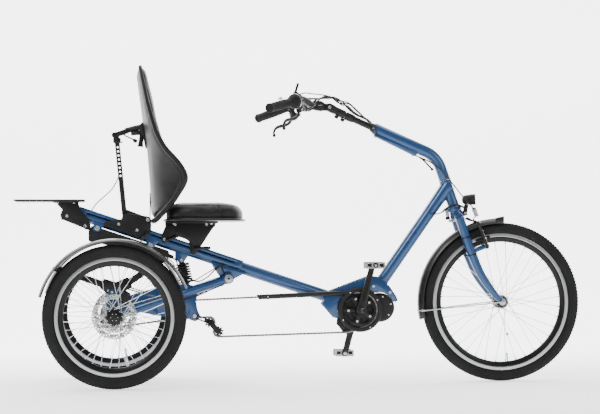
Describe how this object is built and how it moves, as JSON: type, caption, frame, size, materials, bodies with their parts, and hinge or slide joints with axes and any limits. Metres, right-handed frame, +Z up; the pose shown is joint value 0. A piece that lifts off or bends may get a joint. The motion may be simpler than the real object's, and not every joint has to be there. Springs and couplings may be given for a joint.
{
  "type": "electric tricycle",
  "caption": "Electric tricycle with two sprung rear wheels, a steered front wheel, a sliding seat with reclining back, a mid motor with chain drive and a swept handlebar.",
  "frame": {"origin": "on the ground under the middle of the tricycle's bounding box", "axes": "+X forward, +Y to the rider's left, +Z up"},
  "size_m": [2.0842, 0.76, 1.16],
  "materials": {
    "blue_paint": "gloss metallic paint",
    "black_metal": "satin powder coat",
    "black_plastic": "moulded, satin",
    "steel": "bright",
    "tyre_rubber": "matt tread",
    "grip_rubber": "soft matt",
    "leather": "grained vinyl"
  },
  "bodies": {
    "frame": {"main_tube": "blue_paint", "seat_rail": "blue_paint", "down_tube": "blue_paint", "rear_carrier": "black_metal", "battery": "black_plastic", "pivot_bolt": "steel", "motor": "black_plastic", "chain_case": "black_plastic", "chain_guard_tube": "black_plastic", "front_chain": "steel"},
    "swing": {"swing_arm": "blue_paint", "right_caliper": "black_metal", "left_caliper": "black_metal", "right_fender": "black_plastic", "left_fender": "black_plastic", "rear_chain": "steel"},
    "right_wheel_set": {"right_tyre": "tyre_rubber", "right_wheel": "black_metal", "right_disc": "steel"},
    "left_wheel_set": {"left_tyre": "tyre_rubber", "left_wheel": "black_metal", "left_disc": "steel"},
    "axle_drive": {"differential": "steel"},
    "hub_gear": {"gear_hub": "black_metal"},
    "tensioner": {"tensioner_arm": "black_metal"},
    "upper_jockey": {"upper_pulley": "black_plastic"},
    "lower_jockey": {"lower_pulley": "black_plastic"},
    "shock_top": {"shock_body": "black_metal", "shock_spring": "black_metal"},
    "shock_bottom": {"shock_rod": "steel"},
    "cranks": {"right_crank": "black_metal", "left_crank": "black_metal"},
    "right_pedal_set": {"right_pedal": "black_plastic"},
    "left_pedal_set": {"left_pedal": "black_plastic"},
    "steering": {"fork": "blue_paint", "gooseneck": "blue_paint", "cable_cover": "blue_paint", "headlight": "black_plastic", "front_fender": "black_plastic", "front_brake_cable": "grip_rubber", "handlebar_cables": "grip_rubber"},
    "front_wheel_set": {"front_tyre": "tyre_rubber", "front_wheel": "black_metal"},
    "right_arm": {"right_brake_arm": "black_metal"},
    "left_arm": {"left_brake_arm": "black_metal"},
    "post": {"stem_post": "black_metal"},
    "bar": {"stem_head": "black_metal", "handlebar": "black_metal", "right_grip": "grip_rubber", "left_grip": "grip_rubber", "display": "black_plastic"},
    "shifter": {"twist_shifter": "grip_rubber"},
    "right_lever": {"right_brake_lever": "black_metal"},
    "left_lever": {"left_brake_lever": "black_metal"},
    "seat": {"seat_bracket": "black_metal", "seat_cushion": "leather"},
    "back_base": {"backrest_plate": "black_metal"},
    "back": {"backrest": "leather", "backrest_post": "black_metal", "backrest_arm": "black_metal"}
  },
  "joints": [
    {"name": "steering_turn", "type": "hinge", "parent": "frame", "child": "steering", "pos_m": [0.58085, 0, 0.6315], "axis": [-0.3243, 0, 0.9459], "range_deg": [-35, 35]},
    {"name": "front_wheel_spin", "type": "hinge", "parent": "steering", "child": "front_wheel_set", "pos_m": [0.74855, 0, 0.2935], "axis": [0, 1, 0], "continuous": true},
    {"name": "post_slide", "type": "slide", "parent": "steering", "child": "post", "axis": [-0.914, 0, 0.4058], "range_m": [-0.008, 0.06], "deforming": ["handlebar_cables"]},
    {"name": "bar_tilt", "type": "hinge", "parent": "post", "child": "bar", "pos_m": [0.11095, 0, 1.013], "axis": [0, 1, 0], "range_deg": [-20, 20]},
    {"name": "shifter_twist", "type": "hinge", "parent": "bar", "child": "shifter", "pos_m": [0.00195, -0.125, 1.034], "axis": [-0.613, -0.764, -0.2013], "range_deg": [-35, 35]},
    {"name": "right_lever_pull", "type": "hinge", "parent": "bar", "child": "right_lever", "pos_m": [-0.01214, -0.14766, 0.994], "axis": [-0.7647, 0.6378, -0.0918], "range_deg": [0, 18], "stiffness_Nm_per_rad": 2, "springref_deg": -14.32},
    {"name": "left_lever_pull", "type": "hinge", "parent": "bar", "child": "left_lever", "pos_m": [-0.01214, 0.14766, 0.994], "axis": [0.7647, 0.6378, 0.0918], "range_deg": [0, 18], "stiffness_Nm_per_rad": 2, "springref_deg": -14.32, "deforming": ["front_brake_cable"]},
    {"name": "right_brake_arm_turn", "type": "hinge", "parent": "steering", "child": "right_arm", "pos_m": [0.68495, -0.04, 0.496], "axis": [0.9336, 0, 0.3584], "range_deg": [-3.3, 0.3]},
    {"name": "left_brake_arm_turn", "type": "hinge", "parent": "steering", "child": "left_arm", "pos_m": [0.68495, 0.04, 0.496], "axis": [0.9336, 0, 0.3584], "range_deg": [-0.3, 3.3]},
    {"name": "swing_arm_rise", "type": "hinge", "parent": "frame", "child": "swing", "pos_m": [-0.26505, 0, 0.382], "axis": [0, 1, 0], "range_deg": [0, 6], "stiffness_Nm_per_rad": 1500, "springref_deg": -8.59, "deforming": ["front_chain"]},
    {"name": "right_wheel_spin", "type": "hinge", "parent": "swing", "child": "right_wheel_set", "pos_m": [-0.68005, -0.35, 0.2525], "axis": [0, 1, 0], "continuous": true},
    {"name": "left_wheel_spin", "type": "hinge", "parent": "swing", "child": "left_wheel_set", "pos_m": [-0.68005, 0.35, 0.2525], "axis": [0, 1, 0], "continuous": true},
    {"name": "crank_turn", "type": "hinge", "parent": "frame", "child": "cranks", "pos_m": [0.21895, 0, 0.266], "axis": [0, 1, 0], "continuous": true},
    {"name": "right_pedal_spin", "type": "hinge", "parent": "cranks", "child": "right_pedal_set", "pos_m": [0.26209, 0, 0.43044], "axis": [0, 1, 0], "continuous": true},
    {"name": "left_pedal_spin", "type": "hinge", "parent": "cranks", "child": "left_pedal_set", "pos_m": [0.17581, 0, 0.10156], "axis": [0, 1, 0], "continuous": true},
    {"name": "hub_gear_spin", "type": "hinge", "parent": "swing", "child": "hub_gear", "pos_m": [-0.44205, 0, 0.269], "axis": [0, 1, 0], "continuous": true},
    {"name": "differential_spin", "type": "hinge", "parent": "swing", "child": "axle_drive", "pos_m": [-0.68005, 0, 0.2525], "axis": [0, 1, 0], "continuous": true},
    {"name": "tensioner_swing", "type": "hinge", "parent": "swing", "child": "tensioner", "pos_m": [-0.38905, 0, 0.247], "axis": [0, 1, 0], "range_deg": [-3, 3], "stiffness_Nm_per_rad": 8},
    {"name": "upper_pulley_spin", "type": "hinge", "parent": "tensioner", "child": "upper_jockey", "pos_m": [-0.33305, 0, 0.224], "axis": [0, 1, 0], "continuous": true},
    {"name": "lower_pulley_spin", "type": "hinge", "parent": "tensioner", "child": "lower_jockey", "pos_m": [-0.30105, 0, 0.189], "axis": [0, 1, 0], "continuous": true},
    {"name": "shock_turn", "type": "hinge", "parent": "frame", "child": "shock_top", "pos_m": [-0.43605, 0, 0.45], "axis": [0, 1, 0], "range_deg": [-2, 2]},
    {"name": "shock_travel", "type": "slide", "parent": "shock_top", "child": "shock_bottom", "axis": [-0.2256, 0, 0.9742], "range_m": [0, 0.0165], "deforming": ["shock_spring"]},
    {"name": "seat_slide", "type": "slide", "parent": "frame", "child": "seat", "axis": [0.9483, 0, -0.3175], "range_m": [0, 0.11]},
    {"name": "backrest_slide", "type": "slide", "parent": "frame", "child": "back_base", "axis": [0.9483, 0, -0.3175], "range_m": [-0.042, 0]},
    {"name": "backrest_recline", "type": "hinge", "parent": "back_base", "child": "back", "pos_m": [-0.55805, 0, 0.598], "axis": [0, 1, 0], "range_deg": [-8, 0]}
  ],
  "couplings": [
    {"joint": "right_brake_arm_turn", "follows": "left_lever_pull", "ratio": -0.165},
    {"joint": "left_brake_arm_turn", "follows": "left_lever_pull", "ratio": 0.165},
    {"joint": "shock_turn", "follows": "swing_arm_rise", "ratio": -0.18605},
    {"joint": "shock_travel", "follows": "swing_arm_rise", "m_per_rad": 0.15044},
    {"joint": "hub_gear_spin", "follows": "crank_turn", "ratio": 2},
    {"joint": "differential_spin", "follows": "crank_turn", "ratio": 1.3333},
    {"joint": "upper_pulley_spin", "follows": "crank_turn", "ratio": -3.5556},
    {"joint": "lower_pulley_spin", "follows": "crank_turn", "ratio": 3.5556}
  ]
}
